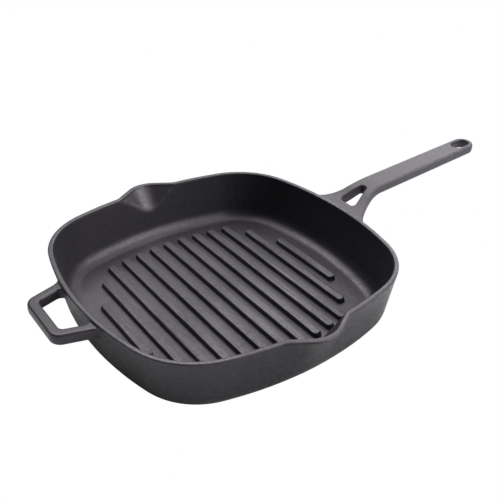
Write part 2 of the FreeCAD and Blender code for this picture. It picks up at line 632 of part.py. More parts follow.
def hang_slot(sketch):
    radius = value("Sizes.hang_slot_width / 2")
    last = value("Worked.handle_end - Sizes.hang_slot_wall") - radius
    first = last - value("Sizes.hang_slot_length - Sizes.hang_slot_width")
    near = add_arc(sketch, (first, 0), radius, 90, 270)
    lower = add_line(sketch, (first, -radius), (last, -radius))
    far = add_arc(sketch, (last, 0), radius, -90, 90)
    upper = add_line(sketch, (last, radius), (first, radius))
    ring = [near, lower, far, upper]
    for item, following in zip(ring, ring[1:] + ring[:1]):
        hold(sketch, "Tangent", item, END, following, START)
    hold(sketch, "PointOnObject", near, CENTRE, X_AXIS)
    hold(sketch, "PointOnObject", far, CENTRE, X_AXIS)
    hold(sketch, "Equal", near, far)
    drive(sketch, "radius", "Sizes.hang_slot_width / 2", "Radius", far)
    drive(sketch, "spread", "Sizes.hang_slot_length - Sizes.hang_slot_width", "DistanceX",
          near, CENTRE, far, CENTRE)
    drive(sketch, "far", "Worked.handle_end - Sizes.hang_slot_wall - Sizes.hang_slot_width / 2", "DistanceX",
          *ORIGIN, far, CENTRE)
    settle(sketch)


def pocket_both_ways(body, name, outline):
    pocket = body.newObject("PartDesign::Pocket", name)
    pocket.Profile = outline
    pocket.Type = "ThroughAll"
    pocket.Midplane = True
    doc.recompute()
    return pocket


def is_long_edge(edge, shape):
    """An edge between an upright side and a top or underside that faces up or down."""
    facings = []
    for face in shape.ancestorsOfType(edge, Part.Face):
        u, v = face.Surface.parameter(middle_of(edge))
        facings.append(abs(face.normalAt(u, v).z))
    return len(facings) == 2 and min(facings) < UPRIGHT_FACE and max(facings) > LEVEL_FACE


def make_handle_blank():
    side_body = new_body("handle_side_form")
    side = new_sketch(side_body, "handle_side", "XZ_Plane")
    handle_side(side)
    band = side_body.newObject("PartDesign::Pad", "handle_band")
    band.Profile = side
    band.Midplane = True
    bind(band, Length="Sizes.fork_root_width + 2 * Sizes.cut_margin")
    doc.recompute()

    body = new_body("handle_blank")
    plan = new_sketch(body, "handle_plan", "XY_Plane")
    handle_plan(plan)
    post = body.newObject("PartDesign::Pad", "handle_post")
    post.Profile = plan
    bind(post, Length="Sizes.rim_height + Sizes.handle_reach")
    doc.recompute()
    shared = body.newObject("PartDesign::Boolean", "handle_shape")
    shared.Type = "Common"
    shared.setObjects([side_body])
    doc.recompute()

    shape = body.Tip.Shape
    beyond_wall = value("Worked.half_width")
    round_edges(body, "handle_edges", "Sizes.handle_round",
                lambda edge: edge.BoundBox.XMax > beyond_wall and is_long_edge(edge, shape))
    hole = new_sketch(body, "fork_hole", "XY_Plane")
    fork_hole(hole)
    pocket_both_ways(body, "fork_window", hole)
    slot = new_sketch(body, "hang_slot", "XY_Plane")
    hang_slot(slot)
    pocket_both_ways(body, "hang_hole", slot)
    trim_at_wall(body, "handle_trim", "0", "-Worked.side_centre", "0")
    return body


def split_handle(blank):
    """Part the handle where the straight grip starts."""
    near_side = doc.addObject("Part::Box", "fork_side")
    bind(near_side, Length="Worked.grip_start", Width="2 * Sizes.fork_root_width", Height="Worked.handle_end",
         Placement__Base__y="-Sizes.fork_root_width")
    fork = doc.addObject("Part::Common", "handle_fork")
    fork.Base = blank
    fork.Tool = near_side
    grip = doc.addObject("Part::Cut", "handle_grip")
    grip.Base = blank
    grip.Tool = near_side
    doc.recompute()
    for piece in (fork, grip):
        piece.Label = piece.Name
    return [fork, grip]


# Helper handle: a trapezoid loop with rounded corners, opposite the long handle
def helper_outline(sketch):
    lean = math.tan(math.radians(value("Sizes.helper_splay")))
    tilt = math.cos(math.radians(value("Sizes.helper_splay")))
    back, bar = value("Worked.root_back"), value("Worked.helper_bar")
    window_edge = value("Worked.helper_window")
    half = value("Sizes.helper_bar_length / 2")
    arm = value("Sizes.helper_arm_width") / tilt

    def outer_edge(along):
        return half + (bar - along) * lean

    corners = [(back, outer_edge(back)), (back, outer_edge(back) - arm),
               (window_edge, outer_edge(window_edge) - arm), (window_edge, arm - outer_edge(window_edge)),
               (back, arm - outer_edge(back)), (back, -outer_edge(back)), (bar, -half), (bar, half)]
    lines = [add_line(sketch, a, b) for a, b in zip(corners, corners[1:] + corners[:1])]
    for line, following in zip(lines, lines[1:] + lines[:1]):
        hold(sketch, "Coincident", line, END, following, START)
    root_up, inner_up, window, inner_down, root_down, outer_down, outer_bar, outer_up = lines
    hold(sketch, "Vertical", root_up)
    hold(sketch, "Symmetric", root_up, START, root_down, END, X_AXIS)
    hold(sketch, "Symmetric", outer_bar, START, outer_bar, END, X_AXIS)
    hold(sketch, "Symmetric", window, START, window, END, X_AXIS)
    hold(sketch, "Symmetric", root_up, END, root_down, START, X_AXIS)
    hold(sketch, "Parallel", outer_up, inner_up)
    drive(sketch, "back", "Worked.root_back", "DistanceX", *ORIGIN, root_up, START)
    drive(sketch, "bar_reach", "Worked.helper_bar", "DistanceX", *ORIGIN, outer_bar, START)
    drive(sketch, "bar_width", "Sizes.helper_bar_width", "DistanceX", window, START, outer_bar, START)
    drive(sketch, "bar_length", "Sizes.helper_bar_length", "DistanceY", outer_bar, START, outer_bar, END)
    drive(sketch, "splay", "180 - Sizes.helper_splay", "Angle", outer_up)
    drive(sketch, "arm_width", "Sizes.helper_arm_width", "Distance", inner_up, START, outer_up)
    settle(sketch)


def make_helper_handle():
    body = new_body("helper_handle")
    outline = new_sketch(body, "helper_outline", "XY_Plane")
    bind(outline, AttachmentOffset__Base__z="Sizes.rim_height - Sizes.helper_drop - Sizes.helper_thickness")
    helper_outline(outline)
    loop = body.newObject("PartDesign::Pad", "helper_loop")
    loop.Profile = outline
    bind(loop, Length="Sizes.helper_thickness")
    doc.recompute()
    bar, window_edge = value("Worked.helper_bar"), value("Worked.helper_window")
    round_edges(body, "helper_corners", "Sizes.helper_corner",
                lambda edge: is_upright(edge) and abs(middle_of(edge).x - bar) < SAME_PLACE)
    round_edges(body, "helper_window_corners", "Sizes.helper_window_corner",
                lambda edge: is_upright(edge) and abs(middle_of(edge).x - window_edge) < SAME_PLACE)
    side = value("Worked.half_width")
    shape = body.Tip.Shape
    round_edges(body, "helper_edges", "Sizes.helper_round",
                lambda edge: edge.BoundBox.XMax > side and is_long_edge(edge, shape))
    trim_at_wall(body, "helper_trim", "0", "-Worked.side_centre", "0")
    body.Placement = FreeCAD.Placement(FreeCAD.Vector(), FreeCAD.Rotation(FreeCAD.Vector(0, 0, 1), 180))
    doc.recompute()
    return body


pieces = [make_base_plate(), make_side_wall()]
pieces.append(make_pour_spout("pour_spout_back", 0))
pieces.append(make_pour_spout("pour_spout_front", 180))
outermost = ridges_each_side()
for number, step in enumerate(range(-outermost, outermost + 1), start=1):
    pieces.append(make_ridge(number, step, outermost))
pieces.extend(split_handle(make_handle_blank()))
pieces.append(make_helper_handle())

doc.recompute()
for item in doc.Objects:
    if "Invalid" in item.State or "Error" in item.State:
        raise RuntimeError("%s did not compute" % item.Label)
for piece in pieces:
    if piece.Shape.isNull() or not piece.Shape.isValid() or len(piece.Shape.Solids) != 1:
        raise RuntimeError("%s is not one sound solid" % piece.Label)

os.makedirs("parts", exist_ok=True)
for piece in pieces:
    piece.Shape.exportStep("parts/%s.step" % piece.Label)
    print(piece.Label, round(piece.Shape.Volume), "mm3")
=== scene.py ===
import math

import bmesh
import bpy
import numpy as np
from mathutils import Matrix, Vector
from mathutils.geometry import delaunay_2d_cdt


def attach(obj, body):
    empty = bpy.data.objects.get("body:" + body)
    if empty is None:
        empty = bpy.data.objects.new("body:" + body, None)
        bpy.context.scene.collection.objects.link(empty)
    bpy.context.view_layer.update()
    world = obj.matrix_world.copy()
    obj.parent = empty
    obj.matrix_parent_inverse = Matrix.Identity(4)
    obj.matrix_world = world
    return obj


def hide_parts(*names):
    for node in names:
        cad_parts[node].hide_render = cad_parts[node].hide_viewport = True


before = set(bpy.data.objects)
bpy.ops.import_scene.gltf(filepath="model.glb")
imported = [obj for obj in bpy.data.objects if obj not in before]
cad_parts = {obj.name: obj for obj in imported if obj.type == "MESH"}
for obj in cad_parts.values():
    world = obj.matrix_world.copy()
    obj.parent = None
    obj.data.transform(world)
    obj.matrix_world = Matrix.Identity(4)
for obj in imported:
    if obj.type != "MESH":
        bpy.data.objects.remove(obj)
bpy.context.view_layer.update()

# Iron skin: the whole pan is one sand casting with a baked-on black seasoning. The mould leaves a fine
# pebbled grain and broad soft lumps, and the seasoning dries a little lighter on the high spots of the
# grain.
# Close under the rim and ridge tops the colour is lighter still: rubbed seasoning and a painted
# highlight.
MM = 0.001
SEASONED_BLACK = (0.0200, 0.0187, 0.0213)
SEASONED_SHEEN = (0.96, 0.89, 1.0, 1.0)
SEASONED_ROUGHNESS = 0.40
# Depth of the band under a top that is painted lighter: rubbed seasoning with a painted highlight.
RUBBED_AND_HIGHLIT_BAND = 1.0 * MM
BUMP_STRENGTH = 0.5
BUMP_DISTANCE = 0.25 * MM
# Scale, detail and roughness of each noise.
GRAIN = (900.0, 3.0, 0.6)
PEBBLE = (320.0, 2.0, 0.5)
LUMP = (60.0, 2.0, 0.5)
CLOUD = (14.0, 4.0, 0.6)
MARKS = (700.0, 2.0, 0.5)
MARKS_ALONG_Y = (1.0, 0.03, 1.0)
GRAIN_SHARE = 0.45
PEBBLE_SHARE = 0.55
SPECK_RANGE = (0.38, 0.66)
CLOUD_RANGE = (0.3, 0.7)
SPECK_TONE = 0.16
CLOUD_TONE = 0.10
SPECK_POLISH = -0.04
CLOUD_POLISH = -0.05


def wire(tree, source, target):
    """Feed a socket from another socket, or set it to a plain value."""
    if isinstance(source, bpy.types.NodeSocket):
        tree.links.new(source, target)
    else:
        target.default_value = source


def calc(tree, operation, *terms):
    """A math node on sockets or numbers, in a shader tree or a geometry tree."""
    node = tree.nodes.new("ShaderNodeMath")
    node.operation = operation
    for socket, term in zip(node.inputs, terms):
        wire(tree, term, socket)
    return node.outputs[0]


def noise(tree, place, kind):
    """A noise texture, by its scale, detail and roughness."""
    node = tree.nodes.new("ShaderNodeTexNoise")
    wire(tree, place, node.inputs["Vector"])
    for label, amount in zip(("Scale", "Detail", "Roughness"), kind):
        node.inputs[label].default_value = amount
    return node.outputs["Fac"]


def remap(tree, fac, low, high, to_low, to_high):
    """A soft step from one value to another as a socket goes from low to high."""
    node = tree.nodes.new("ShaderNodeMapRange")
    node.interpolation_type = "SMOOTHSTEP"
    for socket, term in zip(node.inputs, (fac, low, high, to_low, to_high)):
        wire(tree, term, socket)
    return node.outputs[0]


def sand_cast_skin():
    """Node group: grain, lumps and mottle of a seasoned sand casting, in the piece's own coordinates."""
    tree = bpy.data.node_groups.new("sand_cast_skin", "ShaderNodeTree")
    face = tree.interface
    for name, start in (("Grain Height", 1.0), ("Mottle", 1.0), ("Tool Marks", 0.0)):
        face.new_socket(name, in_out="INPUT", socket_type="NodeSocketFloat").default_value = start
    for name in ("Tone", "Polish", "Height"):
        face.new_socket(name, in_out="OUTPUT", socket_type="NodeSocketFloat")
    given = tree.nodes.new("NodeGroupInput").outputs
    result = tree.nodes.new("NodeGroupOutput").inputs
    place = tree.nodes.new("ShaderNodeTexCoord").outputs["Object"]

    drawn_out = tree.nodes.new("ShaderNodeVectorMath")
    drawn_out.operation = "MULTIPLY"
    wire(tree, place, drawn_out.inputs[0])
    drawn_out.inputs[1].default_value = MARKS_ALONG_Y
    marks = noise(tree, drawn_out.outputs[0], MARKS)
    pebble = calc(tree, "MULTIPLY", noise(tree, place, PEBBLE), PEBBLE_SHARE)
    fine = calc(tree, "MULTIPLY_ADD", noise(tree, place, GRAIN), GRAIN_SHARE, pebble)
    height = calc(tree, "MULTIPLY_ADD", fine, given["Grain Height"], noise(tree, place, LUMP))
    height = calc(tree, "MULTIPLY_ADD", marks, given["Tool Marks"], height)
    wire(tree, height, result["Height"])

    speck = remap(tree, fine, *SPECK_RANGE, -1.0, 1.0)
    broad = remap(tree, noise(tree, place, CLOUD), *CLOUD_RANGE, -1.0, 1.0)

    def both(speck_share, broad_share):
        return calc(tree, "MULTIPLY_ADD", broad, broad_share, calc(tree, "MULTIPLY", speck, speck_share))

    tone = calc(tree, "MULTIPLY_ADD", both(SPECK_TONE, CLOUD_TONE), given["Mottle"], 1.0)
    polish = calc(tree, "MULTIPLY", both(SPECK_POLISH, CLOUD_POLISH), given["Mottle"])
    wire(tree, tone, result["Tone"])
    wire(tree, polish, result["Polish"])
    return tree


skin_group = sand_cast_skin()


def iron(name, colour, roughness, grain, mottle, tool_marks=0.0, rubbed_and_highlit_top=None, rubbed_and_highlit_tone=1.0):
    """A cast-iron finish: dark satin seasoning over the sand-cast skin, lighter close to a top, where
    the seasoning is rubbed thin and a highlight is painted in.
    """
    material = bpy.data.materials.new(name)
    material.use_nodes = True
    tree = material.node_tree
    shader = tree.nodes["Principled BSDF"]
    skin = tree.nodes.new("ShaderNodeGroup")
    skin.node_tree = skin_group
    skin.inputs["Grain Height"].default_value = grain
    skin.inputs["Mottle"].default_value = mottle
    skin.inputs["Tool Marks"].default_value = tool_marks
    tone = skin.outputs["Tone"]
    # Painted highlight: close below the top the base colour is made lighter, partly rubbed-thin
    # seasoning and partly light painted in.
    if rubbed_and_highlit_top is not None:
        level = tree.nodes.new("ShaderNodeSeparateXYZ")
        wire(tree, tree.nodes.new("ShaderNodeTexCoord").outputs["Object"], level.inputs[0])
        rubbed_and_highlit = remap(tree, level.outputs["Z"], rubbed_and_highlit_top - RUBBED_AND_HIGHLIT_BAND, rubbed_and_highlit_top, 1.0, rubbed_and_highlit_tone)
        tone = calc(tree, "MULTIPLY", tone, rubbed_and_highlit)
    tint = tree.nodes.new("ShaderNodeVectorMath")
    tint.operation = "SCALE"
    tint.inputs[0].default_value = colour
    wire(tree, tone, tint.inputs["Scale"])
    wire(tree, tint.outputs[0], shader.inputs["Base Color"])
    wire(tree, calc(tree, "ADD", skin.outputs["Polish"], roughness), shader.inputs["Roughness"])
    bump = tree.nodes.new("ShaderNodeBump")
    bump.inputs["Strength"].default_value = BUMP_STRENGTH
    bump.inputs["Distance"].default_value = BUMP_DISTANCE
    wire(tree, skin.outputs["Height"], bump.inputs["Height"])
    wire(tree, bump.outputs[0], shader.inputs["Normal"])
    shader.inputs["Metallic"].default_value = 0.0
    shader.inputs["Specular IOR Level"].default_value = 0.5
    shader.inputs["Specular Tint"].default_value = SEASONED_SHEEN
    return material


# Pan shell: the floor, the bowed wall and the two pour spouts, cast as one. The wall is one section
# carried round the rim line. Each spout is that wall pressed out, and down the inside, to a rounded V.
half_width = 127.7 * MM
side_bow = 277.0 * MM
corner = 64.3 * MM
rim_height = 49.7 * MM
wall_draft = math.radians(10.1)
wall_thickness = 4.0 * MM
rim_round = 1.1 * MM
rim_inner_round = 1.4 * MM
floor_thickness = 5.0 * MM
floor_fillet = 12.0 * MM
bottom_radius = 14.4 * MM
floor_strip = 3.0 * MM
wall_lean = math.tan(wall_draft)
wall_skin = wall_thickness / math.cos(wall_draft)
side_centre = side_bow - half_width
RIM_SPACING = 1.5 * MM
spout_tip = half_width + 12.9 * MM
spout_tip_radius = 24.0 * MM
spout_lip = 5.3 * MM
scoop_radius = 22.0 * MM
lip_round = 1.5 * MM
spout_flank = math.radians(32.0)
spout_slope = math.radians(40.7)
SIDES = 4
FOOT_STEPS = 10
RIM_STEPS = 5
RIM_INNER_STEPS = 6
FILLET_STEPS = 12
FACE_POINTS = 25
RIM_TOP_POINTS = 4
# Shares of the floor's reach where its rings of faces end.
FLOOR_RINGS = (0.8, 0.6, 0.4, 0.2, 0.0)
# A point farther out than this share of the bow radius lies on a side that has a spout.
SPOUT_SIDE_SHARE = 0.3
# An edge with fewer faces than this is open.
CLOSED_EDGE_FACES = 1.5
# Points closer than this are one point.
SEAM = 0.001 * MM
# The sweep turns its section over, so the section is drawn hanging down.
HUNG_DOWN = (1.0, -1.0)


def arc(centre, radius, first, last, steps):
    """Points of an arc, both ends included. Angles in radians."""
    turn = np.linspace(first, last, steps + 1)
    return np.column_stack((centre[0] + radius * np.cos(turn), centre[1] + radius * np.sin(turn)))


def rim_line():
    """The bowed square that the rim follows: four bowed sides and four round corners."""
    gap = side_bow - corner
    corner_at = (math.sqrt(2 * gap**2 - side_centre**2) - side_centre) / 2
    turn = math.asin(corner_at / gap)
    side_steps = round(2 * turn * side_bow / RIM_SPACING)
    corner_steps = round((math.pi / 2 - 2 * turn) * corner / RIM_SPACING)
    side = arc((-side_centre, 0), side_bow, -turn, turn, side_steps)[:-1]
    bend = arc((corner_at, corner_at), corner, turn, math.pi / 2 - turn, corner_steps)[:-1]
    quarter = np.vstack((side, bend))
    turned = [quarter]
    for _ in range(SIDES - 1):
        last = turned[-1]
        turned.append(np.column_stack((-last[:, 1], last[:, 0])))
    return np.vstack(turned)


def wall_section():
    """The wall's section from underside to floor: distance out from the rim line, and height."""
    def face(depth, level):
        return -depth - (rim_height - level) * wall_lean

    stretch = 1 / math.cos(wall_draft)
    foot = (face(0, bottom_radius) - bottom_radius * stretch, bottom_radius)
    rim_out = (face(0, rim_height - rim_round) - rim_round * stretch, rim_height - rim_round)
    rim_in_at = rim_height - rim_inner_round
    rim_in = (face(wall_skin, rim_in_at) + rim_inner_round * stretch, rim_in_at)
    hollow_at = floor_thickness + floor_fillet
    hollow = (face(wall_skin, hollow_at) - floor_fillet * stretch, hollow_at)
    seam = min(foot[0], hollow[0]) - floor_strip
    half_turn = math.pi
    right = math.pi / 2
    outer_foot = arc(foot, bottom_radius, -right, -wall_draft, FOOT_STEPS)
    outer_rim = arc(rim_out, rim_round, -wall_draft, right, RIM_STEPS)
    inner_rim = arc(rim_in, rim_inner_round, right, half_turn - wall_draft, RIM_INNER_STEPS)
    inner_foot = arc(hollow, floor_fillet, -wall_draft, -right, FILLET_STEPS)
    outer_face = np.linspace(outer_foot[-1], outer_rim[0], FACE_POINTS)[1:-1]
    inner_face = np.linspace(inner_rim[-1], inner_foot[0], FACE_POINTS)[1:-1]
    rim_top = np.linspace(outer_rim[-1], inner_rim[0], RIM_TOP_POINTS)[1:-1]
    return np.vstack(([[seam, 0.0]], outer_foot, outer_face, outer_rim, rim_top, inner_rim, inner_face,
                      inner_foot, [[seam, floor_thickness]]))


def line_object(name, points, closed):
    """A straight-sided curve object through flat points."""
    curve = bpy.data.curves.new(name, "CURVE")
    curve.dimensions = "3D"
    spline = curve.splines.new("POLY")
    spline.points.add(len(points) - 1)
    for knot, (across, up) in zip(spline.points, points):
        knot.co = (across, up, 0.0, 1.0)
    spline.use_cyclic_u = closed
    item = bpy.data.objects.new(name, curve)
    bpy.context.scene.collection.objects.link(item)
    return item


def geometry_tree(name, sizes):
    """An empty geometry tree with one named input per size: the tree, its inputs and their keys."""
    tree = bpy.data.node_groups.new(name, "GeometryNodeTree")
    face = tree.interface
    face.new_socket("Geometry", in_out="INPUT", socket_type="NodeSocketGeometry")
    face.new_socket("Geometry", in_out="OUTPUT", socket_type="NodeSocketGeometry")
    keys = {}
    for label, start in sizes.items():
        kind = "NodeSocketInt" if isinstance(start, int) else "NodeSocketFloat"
        keys[label] = face.new_socket(label, in_out="INPUT", socket_type=kind).identifier
    given = tree.nodes.new("NodeGroupInput").outputs
    return tree, given, keys


def close_tree(tree, geometry, material):
    """The last nodes of every tree: real geometry, smooth faces and the finish."""
    real = tree.nodes.new("GeometryNodeRealizeInstances")
    smooth = tree.nodes.new("GeometryNodeSetShadeSmooth")
    finish = tree.nodes.new("GeometryNodeSetMaterial")
    finish.inputs["Material"].default_value = material
    out = tree.nodes.new("NodeGroupOutput")
    wire(tree, geometry, real.inputs[0])
    wire(tree, real.outputs[0], smooth.inputs[0])
    wire(tree, smooth.outputs[0], finish.inputs[0])
    wire(tree, finish.outputs[0], out.inputs[0])


def grow(name, seed, tree, keys, sizes):
    """Run a tree on its seed object and keep the result as a plain, closed mesh object."""
    modifier = seed.modifiers.new(tree.name, "NODES")
    modifier.node_group = tree
    for label, amount in sizes.items():
        modifier[keys[label]] = amount
    graph = bpy.context.evaluated_depsgraph_get()
    mesh = bpy.data.meshes.new_from_object(seed.evaluated_get(graph))
    mesh.name = name
    seed.modifiers.remove(modifier)
    bpy.data.objects.remove(seed)
    return cast_piece(name, mesh)


def cast_piece(name, mesh):
    """Turn every face outwards and put the mesh in the scene."""
    work = bmesh.new()
    work.from_mesh(mesh)
    bmesh.ops.remove_doubles(work, verts=work.verts, dist=SEAM)
    bmesh.ops.recalc_face_normals(work, faces=work.faces)
    for polygon in work.faces:
        polygon.smooth = True
    work.to_mesh(mesh)
    work.free()
    item = bpy.data.objects.new(name, mesh)
    bpy.context.scene.collection.objects.link(item)
    return item


def rounded_v(tree, across, tip, radius, flank):
    """How far out a rounded V reaches at a distance to the side of its middle line."""
    bend = calc(tree, "MINIMUM", across, calc(tree, "MULTIPLY", radius, calc(tree, "SINE", flank)))
    straight = calc(tree, "SUBTRACT", across, bend)
    bow = calc(tree, "SQRT", calc(tree, "SUBTRACT", calc(tree, "POWER", radius, 2.0),
                                  calc(tree, "POWER", bend, 2.0)))
    nose = calc(tree, "ADD", calc(tree, "SUBTRACT", tip, radius), bow)
    return calc(tree, "SUBTRACT", nose, calc(tree, "MULTIPLY", straight, calc(tree, "TANGENT", flank)))


def wall_reach(tree, across, bow, centre):
    """How far out a bowed wall face stands at a distance to the side of the middle line."""
    room = calc(tree, "SUBTRACT", calc(tree, "POWER", bow, 2.0), calc(tree, "POWER", across, 2.0))
    return calc(tree, "SUBTRACT", calc(tree, "SQRT", calc(tree, "MAXIMUM", room, 0.0)), centre)


def pan_shell_tree(sizes, section, material):
    """The wall's section swept round the rim line, pressed into two spouts and closed with a floor."""
    tree, given, keys = geometry_tree("pan_shell", sizes)
    level = tree.nodes.new("GeometryNodeSetCurveNormal")
    level.mode = "Z_UP"
    profile = tree.nodes.new("GeometryNodeObjectInfo")
    profile.inputs["Object"].default_value = section
    sweep = tree.nodes.new("GeometryNodeCurveToMesh")
    wire(tree, given["Geometry"], level.inputs[0])
    wire(tree, level.outputs[0], sweep.inputs["Curve"])
    wire(tree, profile.outputs["Geometry"], sweep.inputs["Profile Curve"])

    place = tree.nodes.new("GeometryNodeInputPosition").outputs[0]
    parts = tree.nodes.new("ShaderNodeSeparateXYZ")
    wire(tree, place, parts.inputs[0])
    x, y, z = parts.outputs
    across = calc(tree, "ABSOLUTE", x)
    out = calc(tree, "ABSOLUTE", y)
    down = calc(tree, "SUBTRACT", given["Rim Height"], z)
    bow = calc(tree, "SUBTRACT", given["Side Bow"], calc(tree, "MULTIPLY", down, given["Wall Lean"]))
    outer = wall_reach(tree, across, bow, given["Side Centre"])
    inner_bow = calc(tree, "SUBTRACT", bow, given["Wall Skin"])
    inner = wall_reach(tree, across, inner_bow, given["Side Centre"])
    from_outer = calc(tree, "SUBTRACT", outer, out)
    depth = calc(tree, "DIVIDE", from_outer, calc(tree, "SUBTRACT", outer, inner))
    inside = calc(tree, "MINIMUM", calc(tree, "MAXIMUM", depth, 0.0), 1.0)

    below_lip = calc(tree, "MAXIMUM", calc(tree, "SUBTRACT", down, given["Rim Round"]), 0.0)
    fall = calc(tree, "MULTIPLY", below_lip, calc(tree, "TANGENT", given["Spout Slope"]))
    beak = rounded_v(tree, across, given["Spout Tip"], given["Tip Radius"], given["Spout Flank"])
    scoop_tip = calc(tree, "SUBTRACT", given["Spout Tip"], given["Spout Lip"])
    narrowing = calc(tree, "MULTIPLY", below_lip, given["Scoop Taper"])
    narrowed = calc(tree, "SUBTRACT", given["Scoop Radius"], narrowing)
    valley = calc(tree, "MAXIMUM", narrowed, given["Valley Radius"])
    scoop = rounded_v(tree, across, scoop_tip, valley, given["Spout Flank"])
    melt = calc(tree, "MULTIPLY_ADD", below_lip, given["Blend Growth"], given["Outside Blend"])
    edge_rise = calc(tree, "MAXIMUM", calc(tree, "SUBTRACT", given["Lip Round"], down), 0.0)
    edge_bow = calc(tree, "SQRT", calc(tree, "SUBTRACT", calc(tree, "POWER", given["Lip Round"], 2.0),
                                       calc(tree, "POWER", edge_rise, 2.0)))
    rounded_off = calc(tree, "SUBTRACT", given["Lip Round"], edge_bow)
    lip = calc(tree, "SUBTRACT", calc(tree, "SUBTRACT", beak, fall), rounded_off)
    beak_wall = calc(tree, "SMOOTH_MAX", outer, lip, melt)
    scoop_face = calc(tree, "SUBTRACT", scoop, fall)
    scoop_wall = calc(tree, "SMOOTH_MAX", inner, scoop_face, given["Inside Blend"])
    push_out = calc(tree, "SUBTRACT", beak_wall, outer)
    push_in = calc(tree, "SUBTRACT", scoop_wall, inner)
    push = calc(tree, "ADD", calc(tree, "MULTIPLY", push_out, calc(tree, "SUBTRACT", 1.0, inside)),
                calc(tree, "MULTIPLY", push_in, inside))
    side_start = calc(tree, "MULTIPLY", given["Side Bow"], SPOUT_SIDE_SHARE)
    on_side = calc(tree, "GREATER_THAN", out, side_start)
    signed = calc(tree, "MULTIPLY", calc(tree, "MULTIPLY", push, calc(tree, "SIGN", y)), on_side)
    shift = tree.nodes.new("ShaderNodeCombineXYZ")
    wire(tree, signed, shift.inputs[1])
    press = tree.nodes.new("GeometryNodeSetPosition")
    wire(tree, sweep.outputs[0], press.inputs["Geometry"])
    wire(tree, shift.outputs[0], press.inputs["Offset"])

    neighbours = tree.nodes.new("GeometryNodeInputMeshEdgeNeighbors")
    edge = calc(tree, "LESS_THAN", neighbours.outputs[0], CLOSED_EDGE_FACES)
    shape = press.outputs[0]
    share = 1.0
    for ring in FLOOR_RINGS:
        step = tree.nodes.new("GeometryNodeExtrudeMesh")
        step.mode = "EDGES"
        wire(tree, shape, step.inputs["Mesh"])
        wire(tree, edge, step.inputs["Selection"])
        step.inputs["Offset Scale"].default_value = 0.0
        shrink = tree.nodes.new("ShaderNodeVectorMath")
        shrink.operation = "MULTIPLY"
        wire(tree, place, shrink.inputs[0])
        shrink.inputs[1].default_value = (ring / share, ring / share, 1.0)
        draw_in = tree.nodes.new("GeometryNodeSetPosition")
        wire(tree, step.outputs["Mesh"], draw_in.inputs["Geometry"])
        wire(tree, step.outputs["Top"], draw_in.inputs["Selection"])
        wire(tree, shrink.outputs[0], draw_in.inputs["Position"])
        shape = draw_in.outputs[0]
        edge = step.outputs["Top"]
        share = ring
    close_tree(tree, shape, material)
    return tree, keys


# The rim's top is painted twice as light: seasoning rubbed thin there, and a painted highlight along the
# rim.
pan_black = iron("seasoned_iron_pan", SEASONED_BLACK, SEASONED_ROUGHNESS, grain=1.8, mottle=1.4,
                 rubbed_and_highlit_top=rim_height, rubbed_and_highlit_tone=2.0)
shell_sizes = {
    "Rim Height": rim_height,
    "Rim Round": rim_round,
    "Side Bow": side_bow,
    "Side Centre": side_centre,
    "Wall Lean": wall_lean,
    "Wall Skin": wall_skin,
    "Spout Tip": spout_tip,
    "Tip Radius": spout_tip_radius,
    "Spout Lip": spout_lip,
    "Scoop Radius": scoop_radius,
    "Spout Flank": spout_flank,
    "Spout Slope": spout_slope,
    "Lip Round": lip_round,
    "Outside Blend": 1.0 * MM,
    "Blend Growth": 0.6,
    "Inside Blend": 2.5 * MM,
    "Scoop Taper": 0.4,
    "Valley Radius": 14.0 * MM,
}
section_line = line_object("wall_section", wall_section() * HUNG_DOWN, False)
shell_tree, shell_keys = pan_shell_tree(shell_sizes, section_line, pan_black)
rim_seed = line_object("rim_line", rim_line(), True)
pan_shell = grow("pan_shell", rim_seed, shell_tree, shell_keys, shell_sizes)
bpy.data.objects.remove(section_line)
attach(pan_shell, "root")
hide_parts("base_plate", "side_wall", "pour_spout_back", "pour_spout_front")

# Grill ridges: flat-topped bars cast on the floor from spout to spout, with leaning sides, steep round
# ends and a small hollow curve at the foot. All are one pattern, shortened towards the two handle sides,
# and the tool that cut it left faint marks along them.
ridge_pitch = 14.94 * MM
ridge_half_width = 3.85 * MM
ridge_height = 4.2 * MM
ridge_draft = math.radians(7.0)
ridge_end_run = 1.5 * MM
ridge_round = 1.0 * MM
ridge_corner = 2.8 * MM
ridge_foot = 0.4 * MM
ridge_sunk = 0.05 * MM
ridge_half_long = 94.6 * MM
ridge_second_cut = 25.3 * MM
ridge_outer_cut = 54.8 * MM
blank_half = 12.0 * MM
ridge_top = floor_thickness + ridge_height
RIDGES_EACH_SIDE = 6
BAR_FOOT_STEPS = 5
BAR_CROWN_STEPS = 6
BAR_CORNER_STEPS = 5
BAR_CORNERS = ((1, 1), (-1, 1), (-1, -1), (1, -1))
# Ridges are counted in whole steps from the middle, so anything this close is the same step.
SAME_STEP = 0.1
# Painted shade: the ridges are given a darker iron than the pan, shading their sides and the grooves
# between them.
RIDGE_SHADED_BLACK = (0.0120, 0.0112, 0.0128)


def bar_side(lean):
    """Half a bar's outline from its foot to its top: how far out from its foot line, and height."""
    spread = math.tan((math.pi / 2 - lean) / 2)
    foot_at = (ridge_foot * spread, ridge_foot)
    crown_at = (-ridge_height * math.tan(lean) - ridge_round * spread, ridge_height - ridge_round)
    low = arc(foot_at, ridge_foot, -math.pi / 2, -math.pi + lean, BAR_FOOT_STEPS)
    high = arc(crown_at, ridge_round, lean, math.pi / 2, BAR_CROWN_STEPS)
    return np.vstack((low, high))


